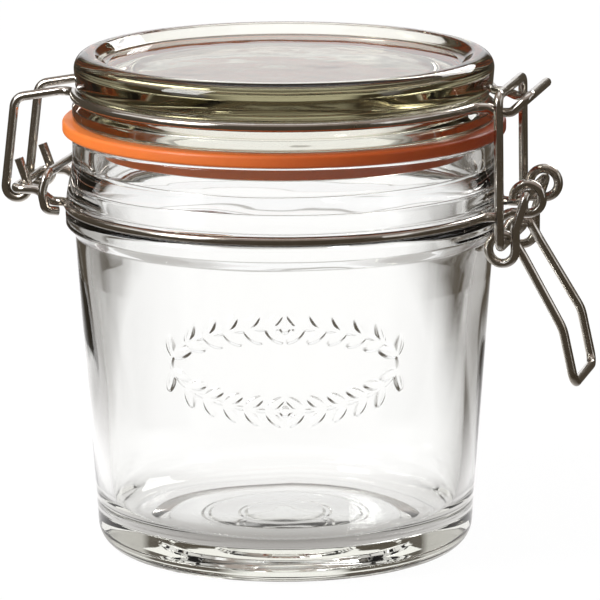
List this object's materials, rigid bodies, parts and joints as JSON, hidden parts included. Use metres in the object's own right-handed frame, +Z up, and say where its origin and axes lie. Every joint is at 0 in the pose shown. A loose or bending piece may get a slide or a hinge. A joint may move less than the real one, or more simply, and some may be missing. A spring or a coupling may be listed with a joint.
{
  "type": "clip-top jar",
  "caption": "Round clear glass storage jar with a hinged glass lid, an orange rubber seal and a wire toggle clasp.",
  "frame": {"origin": "middle of the base, on the surface that the jar stands on", "axes": "+Z up along the jar's axis, +X towards the clasp, -X towards the hinge, Y along the hinge and the clasp's axle"},
  "size_m": [0.127, 0.095, 0.1075],
  "materials": {
    "jar_glass": "clear, polished",
    "lid_glass": "clear, faint olive at the edge",
    "seal_rubber": "satin",
    "wire_chrome": "bright plated steel wire"
  },
  "bodies": {
    "jar": {"jar_body": "jar_glass", "neck_wire": "wire_chrome", "hinge_tie": "wire_chrome"},
    "lid_group": {"lid": "lid_glass", "seal": "seal_rubber", "lid_wire": "wire_chrome"},
    "lever_group": {"lever": "wire_chrome"},
    "link_group": {"link": "wire_chrome"}
  },
  "joints": [
    {"name": "lid_hinge", "type": "hinge", "parent": "jar", "child": "lid_group", "pos_m": [-0.057, 0, 0.0776], "axis": [0, -1, 0], "range_deg": [0, 100]},
    {"name": "lever_pivot", "type": "hinge", "parent": "jar", "child": "lever_group", "pos_m": [0.0549, 0, 0.08045], "axis": [0, -1, 0], "range_deg": [0, 100]},
    {"name": "link_pivot", "type": "hinge", "parent": "lever_group", "child": "link_group", "pos_m": [0.0497, 0, 0.06935], "axis": [0, -1, 0], "range_deg": [-66.6, 0.1]}
  ],
  "couplings": [
    {"joint": "link_pivot", "follows": "lever_pivot", "ratio": -0.665}
  ]
}
